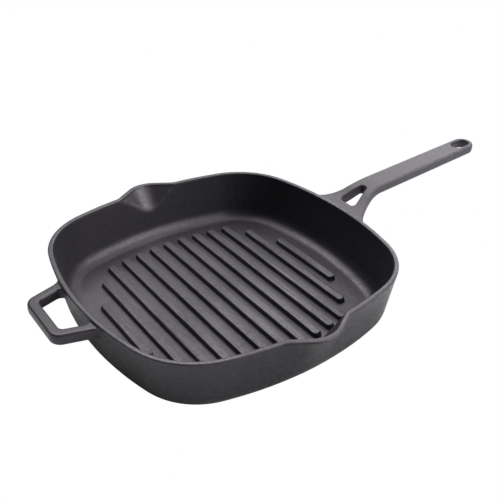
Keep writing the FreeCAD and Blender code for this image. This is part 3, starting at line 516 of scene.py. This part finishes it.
def ridge_blank(half):
    """One short ridge: rings of rounded rectangles from the foot to the flat top."""
    side = bar_side(ridge_draft)
    end = bar_side(math.atan(ridge_end_run / ridge_height))
    work = bmesh.new()
    rings = []
    for out, level in side:
        wide = ridge_half_width + out
        far = half + np.interp(level, end[:, 1], end[:, 0])
        bend = min(ridge_corner + out, wide)
        points = []
        for turn, (sx, sy) in enumerate(BAR_CORNERS):
            middle = (sx * (wide - bend), sy * (far - bend))
            first = turn * math.pi / 2
            points.extend(arc(middle, bend, first, first + math.pi / 2, BAR_CORNER_STEPS))
        height = floor_thickness - ridge_sunk + level
        rings.append([work.verts.new((px, py, height)) for px, py in points])
    for lower, upper in zip(rings, rings[1:]):
        for a, b, c, d in zip(lower, lower[1:] + lower[:1], upper[1:] + upper[:1], upper):
            work.faces.new((a, b, c, d))
    work.faces.new(rings[-1])
    work.faces.new(rings[0][::-1])
    mesh = bpy.data.meshes.new("ridge_blank")
    work.to_mesh(mesh)
    work.free()
    item = bpy.data.objects.new("ridge_blank", mesh)
    bpy.context.scene.collection.objects.link(item)
    return item


def grill_ridges_tree(sizes, material):
    """A row of copies of the short ridge, each drawn out to its own length."""
    tree, given, keys = geometry_tree("grill_ridges", sizes)
    row = tree.nodes.new("GeometryNodeMeshLine")
    count = calc(tree, "MULTIPLY_ADD", given["Each Side"], 2.0, 1.0)
    wire(tree, count, row.inputs["Count"])
    start = tree.nodes.new("ShaderNodeCombineXYZ")
    reach = calc(tree, "MULTIPLY", given["Each Side"], given["Pitch"])
    first = calc(tree, "MULTIPLY", reach, -1.0)
    wire(tree, first, start.inputs[0])
    pace = tree.nodes.new("ShaderNodeCombineXYZ")
    wire(tree, given["Pitch"], pace.inputs[0])
    wire(tree, start.outputs[0], row.inputs["Start Location"])
    wire(tree, pace.outputs[0], row.inputs["Offset"])

    number = tree.nodes.new("GeometryNodeInputIndex").outputs[0]
    step = calc(tree, "ABSOLUTE", calc(tree, "SUBTRACT", number, given["Each Side"]))
    off = calc(tree, "MULTIPLY", step, given["Pitch"])
    bow = calc(tree, "SQRT", calc(tree, "SUBTRACT", calc(tree, "POWER", given["Side Bow"], 2.0),
                                  calc(tree, "POWER", off, 2.0)))
    follow = calc(tree, "SUBTRACT", given["Side Bow"], bow)
    outermost = calc(tree, "COMPARE", step, given["Each Side"], SAME_STEP)
    next_in = calc(tree, "SUBTRACT", given["Each Side"], 1.0)
    second = calc(tree, "COMPARE", step, next_in, SAME_STEP)
    inner = calc(tree, "SUBTRACT", calc(tree, "SUBTRACT", 1.0, outermost), second)
    cut = calc(tree, "ADD", calc(tree, "MULTIPLY", outermost, given["Outer Cut"]),
               calc(tree, "MULTIPLY", second, given["Second Cut"]))
    cut = calc(tree, "MULTIPLY_ADD", inner, follow, cut)
    half = calc(tree, "SUBTRACT", given["Half Long"], cut)
    stretch = calc(tree, "SUBTRACT", half, given["Blank Half"])
    keep = tree.nodes.new("GeometryNodeStoreNamedAttribute")
    keep.inputs["Name"].default_value = "stretch"
    wire(tree, row.outputs[0], keep.inputs["Geometry"])
    wire(tree, stretch, keep.inputs["Value"])
    stand = tree.nodes.new("GeometryNodeInstanceOnPoints")
    wire(tree, keep.outputs[0], stand.inputs["Points"])
    wire(tree, given["Geometry"], stand.inputs["Instance"])
    real = tree.nodes.new("GeometryNodeRealizeInstances")
    wire(tree, stand.outputs[0], real.inputs[0])

    place = tree.nodes.new("ShaderNodeSeparateXYZ")
    wire(tree, tree.nodes.new("GeometryNodeInputPosition").outputs[0], place.inputs[0])
    kept = tree.nodes.new("GeometryNodeInputNamedAttribute")
    kept.inputs["Name"].default_value = "stretch"
    pull = tree.nodes.new("ShaderNodeCombineXYZ")
    end = calc(tree, "SIGN", place.outputs["Y"])
    wire(tree, calc(tree, "MULTIPLY", end, kept.outputs[0]), pull.inputs["Y"])
    draw = tree.nodes.new("GeometryNodeSetPosition")
    wire(tree, real.outputs[0], draw.inputs["Geometry"])
    wire(tree, pull.outputs[0], draw.inputs["Offset"])
    drop = tree.nodes.new("GeometryNodeRemoveAttribute")
    drop.inputs["Name"].default_value = "stretch"
    wire(tree, draw.outputs[0], drop.inputs["Geometry"])
    close_tree(tree, drop.outputs[0], material)
    return tree, keys


# The ridge tops are painted over three times lighter than their sides: seasoning rubbed thin, and a
# painted highlight on the tops.
ridge_black = iron("seasoned_iron_ridges", RIDGE_SHADED_BLACK, SEASONED_ROUGHNESS, grain=1.5, mottle=1.8,
                   tool_marks=8.0, rubbed_and_highlit_top=ridge_top, rubbed_and_highlit_tone=3.3)
ridge_sizes = {
    "Each Side": RIDGES_EACH_SIDE,
    "Pitch": ridge_pitch,
    "Side Bow": side_bow,
    "Half Long": ridge_half_long,
    "Blank Half": blank_half,
    "Second Cut": ridge_second_cut,
    "Outer Cut": ridge_outer_cut,
}
ridge_tree, ridge_keys = grill_ridges_tree(ridge_sizes, ridge_black)
grill_ridges = grow("grill_ridges", ridge_blank(blank_half), ridge_tree, ridge_keys, ridge_sizes)
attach(grill_ridges, "root")
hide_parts(*["grill_ridge_%02d" % n for n in range(1, 2 * RIDGES_EACH_SIDE + 2)])

# Long handle: cast on the wall as a fork with a three-sided window, then a straight flat grip with a
# hang hole in its round tip. Its sides lean back a little both ways from the mould's parting line.
handle_reach = 168.6 * MM
handle_top = rim_height - 2.5 * MM
handle_thickness = 8.6 * MM
fork_length = 40.5 * MM
fork_root_angle = math.radians(16.0)
fork_rise_radius = 79.0 * MM
fork_crest_radius = 45.0 * MM
grip_angle = math.radians(3.7)
fork_root_half = 39.0 * MM
fork_root_inset = 4.0 * MM
fork_flare_radius = 49.0 * MM
grip_half = 11.3 * MM
tip_radius = 10.6 * MM
handle_round = 2.0 * MM
window_near = half_width + 8.5 * MM
window_length = 20.5 * MM
window_base_half = 9.5 * MM
window_top_half = 3.0 * MM
window_round = 2.6 * MM
slot_radius = 6.0 * MM
slot_spread = 7.0 * MM
slot_wall = 4.4 * MM
window_edge_round = 1.0 * MM
parting_lean = 0.3 * MM
root_in_wall = 2.0 * MM
root_fillet = 1.4 * MM
root_fade = 6.0 * MM
LOOP_SPACING = 1.1 * MM
FILL_SPACING = 2.0 * MM
# Rows of points close to the wall, counted in root fillets out from it.
ROOT_ROWS = (0.0, 0.2, 0.45, 0.75, 1.1)
EDGE_STEPS = 5
FLARE_STEPS = 60
TIP_STEPS = 30
ROOT_POINTS = 70
RISE_STEPS = 40
HOLE_STEPS = 20
WINDOW_STEPS = 8
# How far the straight ends of the handle's height lines run on.
RUN_ON = 0.2
# The fill covers the whole hull and merges points closer than its finest step.
WHOLE_HULL = 0
FINEST = 1e-9
WELD = 0.002 * MM
handle_root_level = handle_top - handle_thickness / 2
MIRRORED = (1.0, -1.0)
# Painted light: the long handle's iron is given a lighter colour than the pan's, so that it shows
# brighter as if more lit.
GRIP_LIGHTENED_BLACK = (0.0560, 0.0524, 0.0596)
GRIP_ROUGHNESS = 0.50


def spaced(points, spacing):
    """A closed line with points added so that no step is longer than the spacing."""
    dense = []
    for first, second in zip(points, np.roll(points, -1, axis=0)):
        steps = max(1, math.ceil(np.linalg.norm(second - first) / spacing))
        dense.extend(first + (second - first) * k / steps for k in range(steps))
    return np.array(dense)


def round_corners(corners, radii, steps):
    """A closed line through corners, each rounded to its own radius."""
    line = []
    count = len(corners)
    for k, (here, radius) in enumerate(zip(corners, radii)):
        here = np.array(here)
        if radius == 0.0:
            line.append(here)
            continue
        back = unit(np.array(corners[k - 1]) - here)
        ahead = unit(np.array(corners[(k + 1) % count]) - here)
        half_angle = math.acos(float(np.clip(back @ ahead, -1, 1))) / 2
        bisector = unit(back + ahead)
        centre = here + bisector * radius / math.sin(half_angle)
        start = here + back * radius / math.tan(half_angle) - centre
        end = here + ahead * radius / math.tan(half_angle) - centre
        first = math.atan2(start[1], start[0])
        sweep = math.atan2(start[0] * end[1] - start[1] * end[0], float(start @ end))
        line.extend(arc(centre, radius, first, first + sweep, steps))
    return np.array(line)


def unit(steps):
    """The same steps, each made one unit long."""
    return steps / np.linalg.norm(steps, axis=-1, keepdims=True)


def inward(line):
    """Steps from the points of a closed counter-clockwise line to a copy drawn one unit inside it."""
    run = unit(np.roll(line, -1, axis=0) - line)
    after = np.column_stack((-run[:, 1], run[:, 0]))
    before = np.roll(after, 1, axis=0)
    return (before + after) / (1 + np.sum(before * after, axis=1, keepdims=True))


def is_within(points, line):
    """Which points lie inside a closed line."""
    x, y = points[:, 0:1], points[:, 1:2]
    x1, y1 = line.T
    x2, y2 = np.roll(line, -1, axis=0).T
    crosses = (y1 > y) != (y2 > y)
    rise = np.where(y2 == y1, 1.0, y2 - y1)
    left = x < (x2 - x1) * (y - y1) / rise + x1
    return (crosses & left).sum(axis=1) % 2 == 1


def wall_line(y, level, depth):
    """Distance from the middle of the pan to a bowed wall's outer face, less some depth."""
    bow = side_bow - (rim_height - level) * wall_lean - depth
    return np.sqrt(bow**2 - y**2) - side_centre


def from_wall(points, level):
    """How far plan points stand out from the wall's outer face at a height."""
    return points[:, 0] - wall_line(points[:, 1], level, 0.0)


def plan_ring(line, ways, inset, height, root_level):
    """One ring of a bar's skin. Close to the wall it leans as the wall does."""
    moved = line + ways * inset
    near = np.clip(1 - from_wall(moved, root_level) / root_fade, 0, 1)
    rise = np.array([height(x) for x in moved[:, 0]]) - root_level
    moved[:, 0] += near * rise * wall_lean
    return moved


def cast_bar(name, outline, holes, upper, lower, root_level, edge_round, hole_round, material):
    """A cast bar: a plan outline with holes, rounded edges, sides that lean from the parting line, and a
    top and underside at heights that change along it. Its root runs into the wall."""
    work = bmesh.new()
    top_lines = []
    under_lines = []
    quarter = np.linspace(0, math.pi / 2, EDGE_STEPS + 1)
    edges = [(outline, 1, edge_round)] + [(hole, -1, hole_round) for hole in holes]
    for line, facing, radius in edges:
        fade = np.clip(from_wall(line, root_level) / root_fade, 0, 1)
        ways = facing * inward(line) * fade[:, None]
        insets = parting_lean + radius * (1 - np.sin(quarter))
        depths = radius * (1 - np.cos(quarter))
        levels = [(inset, upper, -depth) for inset, depth in zip(insets, depths)]
        levels.append((0.0, lambda x: (upper(x) + lower(x)) / 2, 0.0))
        levels.extend((inset, lower, depth) for inset, depth in zip(insets[::-1], depths[::-1]))
        rings = []
        for inset, surface, offset in levels:
            moved = plan_ring(line, ways, inset, lambda x: surface(x) + offset, root_level)
            rings.append([work.verts.new((x, y, surface(x) + offset)) for x, y in moved])
            if (inset, surface) == levels[0][:2]:
                top_lines.append(moved)
        under_lines.append(moved)
        for high, low in zip(rings, rings[1:]):
            for a, b, c, d in zip(high, high[1:] + high[:1], low[1:] + low[:1], low):
                work.faces.new((a, b, c, d))
    lid(work, top_lines, upper, root_level)
    lid(work, under_lines, lower, root_level)
    bmesh.ops.remove_doubles(work, verts=work.verts, dist=WELD)
    bmesh.ops.recalc_face_normals(work, faces=work.faces)
    work.normal_update()
    blend_root(work)
    mesh = bpy.data.meshes.new(name)
    work.to_mesh(mesh)
    work.free()
    mesh.materials.append(material)
    return mesh


def lid(work, lines, height, root_level):
    """Close the flat of a bar between its outline and its holes: even triangles, finer at the wall."""
    points, sides, loops = [], [], []
    for line in lines:
        first = len(points)
        points.extend(line)
        sides.extend((first + k, first + (k + 1) % len(line)) for k in range(len(line)))
        loops.append(range(first, len(points)))
    low, high = lines[0].min(axis=0), lines[0].max(axis=0)
    grid = [(x + (k % 2) * FILL_SPACING / 2, y)
            for k, y in enumerate(np.arange(low[1], high[1], FILL_SPACING * math.sqrt(3) / 2))
            for x in np.arange(low[0], high[0], FILL_SPACING)]
    grid = np.array(grid)
    grid = grid[from_wall(grid, root_level) > 2 * root_fillet]
    root_y = np.arange(low[1], high[1], FILL_SPACING / 2)
    for apart in ROOT_ROWS:
        root_x = wall_line(root_y, root_level, -apart * root_fillet)
        root_x = wall_line(root_y, np.array([height(x) for x in root_x]), -apart * root_fillet)
        grid = np.vstack((grid, np.column_stack((root_x, root_y))))
    clear = is_within(grid, lines[0])
    for hole in lines[1:]:
        clear &= ~is_within(grid, hole)
    border = np.vstack(lines)
    room = np.array([np.min(np.sum((border - p) ** 2, axis=1)) for p in grid])
    points.extend(grid[clear & (room > (FILL_SPACING / 3) ** 2)])
    places, _, faces, *_ = delaunay_2d_cdt([Vector(p) for p in points], sides, [], WHOLE_HULL, FINEST)
    corners = [work.verts.new((p.x, p.y, height(p.x))) for p in places]
    for face in faces:
        outside = False
        for loop, facing in zip(loops, [1] + [-1] * len(lines)):
            if all(k in loop for k in face):
                ordered = sum(a < b for a, b in zip(face, face[1:] + face[:1])) == 2
                outside = ordered != (facing == 1)
        if not outside:
            work.faces.new([corners[k] for k in face])
    bmesh.ops.delete(work, geom=[v for v in corners if not v.link_faces], context="VERTS")


def blend_root(work):
    """Raise the flats of a bar where it leaves the wall, so that a hollow curve joins the two."""
    for vertex in work.verts:
        x, y, z = vertex.co
        apart = x - float(wall_line(y, z, 0.0))
        near = min(1.0, max(0.0, 1 - apart / root_fillet))
        vertex.co.z += vertex.normal.z * root_fillet * (1 - math.sqrt(1 - near**2))


def handle_plan():
    """The handle seen from above: root inside the wall, flare, straight grip and round tip."""
    rise = fork_root_half - grip_half
    run = math.sqrt(2 * fork_flare_radius * rise - rise**2)
    flare_x = half_width - fork_root_inset + run
    turn = math.asin(run / fork_flare_radius)
    down, up = -math.pi / 2, math.pi / 2
    flare = arc((flare_x, -grip_half - fork_flare_radius), fork_flare_radius, up + turn, up, FLARE_STEPS)
    tip = arc((half_width + handle_reach - tip_radius, 0), tip_radius, down, up, TIP_STEPS)
    root_y = np.linspace(fork_root_half, -fork_root_half, ROOT_POINTS)
    root = np.column_stack((wall_line(root_y, handle_root_level, root_in_wall), root_y))
    return spaced(np.vstack((root, flare, tip, (flare * MIRRORED)[::-1])), LOOP_SPACING)


def handle_heights():
    """Heights of the handle's top and underside along X: straight root, hollow, crown, straight grip."""
    between = fork_rise_radius + fork_crest_radius
    hollow_run = fork_rise_radius * math.sin(fork_root_angle)
    crown_run = fork_crest_radius * math.sin(grip_angle)
    steep = math.asin((fork_length + hollow_run + crown_run) / between)
    rise_at = (half_width - hollow_run, handle_top + fork_rise_radius * math.cos(fork_root_angle))
    crest_at = (rise_at[0] + between * math.sin(steep), rise_at[1] - between * math.cos(steep))
    root_way = np.array((math.cos(fork_root_angle), math.sin(fork_root_angle)))
    grip_way = np.array((math.cos(grip_angle), math.sin(grip_angle)))
    quarter = math.pi / 2
    heights = []
    for drop in (0.0, handle_thickness):
        hollow = arc(rise_at, fork_rise_radius + drop, fork_root_angle - quarter, steep - quarter,
                     RISE_STEPS)
        crown = arc(crest_at, fork_crest_radius - drop, steep + quarter, grip_angle + quarter,
                    RISE_STEPS)
        start = hollow[0] - RUN_ON * root_way
        stop = crown[-1] + RUN_ON * grip_way
        line = np.vstack((start, hollow, crown, stop))
        heights.append(lambda x, line=line: float(np.interp(x, line[:, 0], line[:, 1])))
    return heights


def hang_hole():
    """The long round-ended hole in the tip, seen from above."""
    far = half_width + handle_reach - slot_wall - slot_radius
    up = math.pi / 2
    near_end = arc((far - slot_spread, 0), slot_radius, up, 3 * up, HOLE_STEPS)
    far_end = arc((far, 0), slot_radius, -up, up, HOLE_STEPS)
    return spaced(np.vstack((near_end, far_end)), LOOP_SPACING)


def fork_window():
    """The three-sided hole between the fork's arms, seen from above."""
    far = window_near + window_length
    corners = [(window_near, -window_base_half), (far, -window_top_half), (far, window_top_half),
               (window_near, window_base_half)]
    radii = [window_round] * len(corners)
    return spaced(round_corners(corners, radii, WINDOW_STEPS), LOOP_SPACING)


handle_black = iron("seasoned_iron_handle", GRIP_LIGHTENED_BLACK, GRIP_ROUGHNESS, grain=0.3, mottle=0.15)
handle_upper, handle_lower = handle_heights()
handle_mesh = cast_bar("long_handle", handle_plan(), [fork_window(), hang_hole()], handle_upper,
                       handle_lower, handle_root_level, handle_round, window_edge_round, handle_black)
long_handle = cast_piece("long_handle", handle_mesh)
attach(long_handle, "root")
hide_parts("handle_fork", "handle_grip")

# Helper handle: a short loop cast on the wall opposite the long handle, for a second hand in a mitt. Two
# splayed arms carry a straight bar, and the wall closes the loop.
helper_reach = 28.2 * MM
helper_drop = 2.2 * MM
helper_thickness = 9.2 * MM
helper_bar_half = 26.3 * MM
helper_bar_width = 8.8 * MM
helper_arm_width = 8.6 * MM
helper_splay = math.radians(17.0)
helper_corner = 10.0 * MM
helper_window_corner = 4.5 * MM
helper_round = 1.8 * MM
helper_root_round = 4.0 * MM
helper_root_spread = 5.5 * MM
helper_top = rim_height - helper_drop
helper_root_level = helper_top - helper_thickness / 2
LOOP_STEPS = 14
# Rounds of closing in on the point where an arm's edge meets the wall.
MEETING_ROUNDS = 8
# Painted light: the helper handle's iron is a little lighter than the pan's, so that it shows brighter
# as if more lit.
LOOP_LIGHTENED_BLACK = (0.0240, 0.0224, 0.0256)


def helper_plan():
    """The loop seen from above, with its two roots spreading along the wall and running into it."""
    bar = half_width + helper_reach
    window = bar - helper_bar_width
    arm = helper_arm_width / math.cos(helper_splay)
    spread = math.tan(helper_splay)

    def arm_y(x, inner):
        return helper_bar_half + (bar - x) * spread - inner

    def root(inner, facing):
        """An arm's edge at the wall, the end of its hollow curve there, and that end inside the wall."""
        x = half_width
        for _ in range(MEETING_ROUNDS):
            x = float(wall_line(arm_y(x, inner), helper_root_level, 0.0))
        meet = np.array((x, arm_y(x, inner)))
        along = unit(np.array((-meet[1], side_centre + meet[0]))) * facing
        end = meet + along * helper_root_spread
        sunk = float(wall_line(end[1], helper_root_level, root_in_wall))
        return meet, end, np.array((sunk, end[1]))

    outer_meet, outer_end, outer_root = root(0.0, 1.0)
    inner_meet, inner_end, inner_root = root(arm, -1.0)
    half = [((bar, helper_bar_half), helper_corner), (outer_meet, helper_root_round), (outer_end, 0.0),
            (outer_root, 0.0), (inner_root, 0.0), (inner_end, 0.0), (inner_meet, helper_root_round),
            ((window, arm_y(window, arm)), helper_window_corner)]
    corners = half + [(np.array(point) * MIRRORED, radius) for point, radius in half[::-1]]
    points, radii = zip(*corners)
    return spaced(round_corners(points, radii, LOOP_STEPS), LOOP_SPACING)


helper_black = iron("seasoned_iron_helper", LOOP_LIGHTENED_BLACK, SEASONED_ROUGHNESS, grain=0.3, mottle=0.15)
helper_mesh = cast_bar("helper_handle_loop", helper_plan(), [], lambda x: helper_top,
                       lambda x: helper_top - helper_thickness, helper_root_level,
                       helper_round, helper_round, helper_black)
for vertex in helper_mesh.vertices:
    vertex.co.x = -vertex.co.x
    vertex.co.y = -vertex.co.y
helper_loop = cast_piece("helper_handle_loop", helper_mesh)
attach(helper_loop, "root")
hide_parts("helper_handle")

# Studio: a plain white sweep under the pan, and large soft lights above it.
floor_half = 4.0
floor_drop = 0.2 * MM
PAPER_TONE = (0.6, 0.6, 0.6, 1.0)
WHITE = (1.0, 1.0, 1.0, 1.0)
light_distance = 3.2
light_size = 1.6
light_target = Vector((0.02, 0.0, 0.03))


def white_sweep():
    """A large plane that the camera sees as clean white, and that the pan mirrors as lit paper."""
    mesh = bpy.data.meshes.new("studio_floor")
    ways = ((-1, -1), (1, -1), (1, 1), (-1, 1))
    corners = [(sx * floor_half, sy * floor_half, -floor_drop) for sx, sy in ways]
    mesh.from_pydata(corners, [], [tuple(range(len(corners)))])
    paper = bpy.data.materials.new("white_paper")
    paper.use_nodes = True
    tree = paper.node_tree
    sheet = tree.nodes["Principled BSDF"]
    sheet.inputs["Base Color"].default_value = PAPER_TONE
    sheet.inputs["Roughness"].default_value = 1.0
    sheet.inputs["Specular IOR Level"].default_value = 0.0
    glow = tree.nodes.new("ShaderNodeEmission")
    look = tree.nodes.new("ShaderNodeMixShader")
    wire(tree, tree.nodes.new("ShaderNodeLightPath").outputs["Is Camera Ray"], look.inputs[0])
    wire(tree, sheet.outputs[0], look.inputs[1])
    wire(tree, glow.outputs[0], look.inputs[2])
    wire(tree, look.outputs[0], tree.nodes["Material Output"].inputs["Surface"])
    mesh.materials.append(paper)
    item = bpy.data.objects.new("studio_floor", mesh)
    bpy.context.scene.collection.objects.link(item)
    return item


white_sweep()


def soft_light(name, around, above, power):
    """A square soft box turned to the pan: degrees round from the long handle, degrees above, watts."""
    lamp = bpy.data.lights.new(name, "AREA")
    lamp.shape = "SQUARE"
    lamp.size = light_size
    lamp.energy = power
    item = bpy.data.objects.new(name, lamp)
    around = math.radians(around)
    above = math.radians(above)
    flat = math.cos(above)
    way = Vector((math.cos(around) * flat, math.sin(around) * flat, math.sin(above)))
    item.location = light_target + way * light_distance
    item.rotation_euler = (-way).to_track_quat("-Z", "Y").to_euler()
    bpy.context.scene.collection.objects.link(item)


soft_light("key_light", 60.0, 55.0, 34.0)
soft_light("back_light", 90.0, 55.0, 24.0)
soft_light("back_left_light", 120.0, 55.0, 21.0)
soft_light("high_light", 90.0, 75.0, 17.0)
soft_light("rear_light", 60.0, 35.0, 7.0)
soft_light("rear_right_light", 30.0, 35.0, 15.0)
soft_light("low_right_light", 30.0, 15.0, 25.0)
soft_light("right_light", 330.0, 35.0, 40.0)
soft_light("high_right_light", 330.0, 55.0, 16.0)
soft_light("top_light", 0.0, 75.0, 17.0)
soft_light("front_right_light", 300.0, 35.0, 32.0)
soft_light("high_front_light", 300.0, 55.0, 13.0)
soft_light("low_front_light", 300.0, 15.0, 19.0)

world = bpy.data.worlds.new("studio_air")
world.use_nodes = True
air = world.node_tree
backdrop = air.nodes["Background"]
backdrop.inputs["Color"].default_value = WHITE
wire(air, air.nodes.new("ShaderNodeLightPath").outputs["Is Camera Ray"], backdrop.inputs["Strength"])
bpy.context.scene.world = world
bpy.context.scene.view_settings.view_transform = "Standard"

# Camera: above the front left, as the photograph was taken.
view_azimuth = math.radians(-35.22)
view_elevation = math.radians(32.20)
view_distance = 641.0 * MM
view_target = Vector((41.1, 16.56, 25.0)) * MM
focal_length_mm = 52.8
film_width_mm = 36.0
lens = bpy.data.cameras.new("studio_camera")
lens.lens = focal_length_mm
lens.sensor_width = film_width_mm
camera = bpy.data.objects.new("studio_camera", lens)
back = Vector((math.sin(view_azimuth) * math.cos(view_elevation),
               -math.cos(view_azimuth) * math.cos(view_elevation), math.sin(view_elevation)))
camera.location = view_target + back * view_distance
camera.rotation_euler = (-back).to_track_quat("-Z", "Y").to_euler()
bpy.context.scene.collection.objects.link(camera)
bpy.context.scene.camera = camera
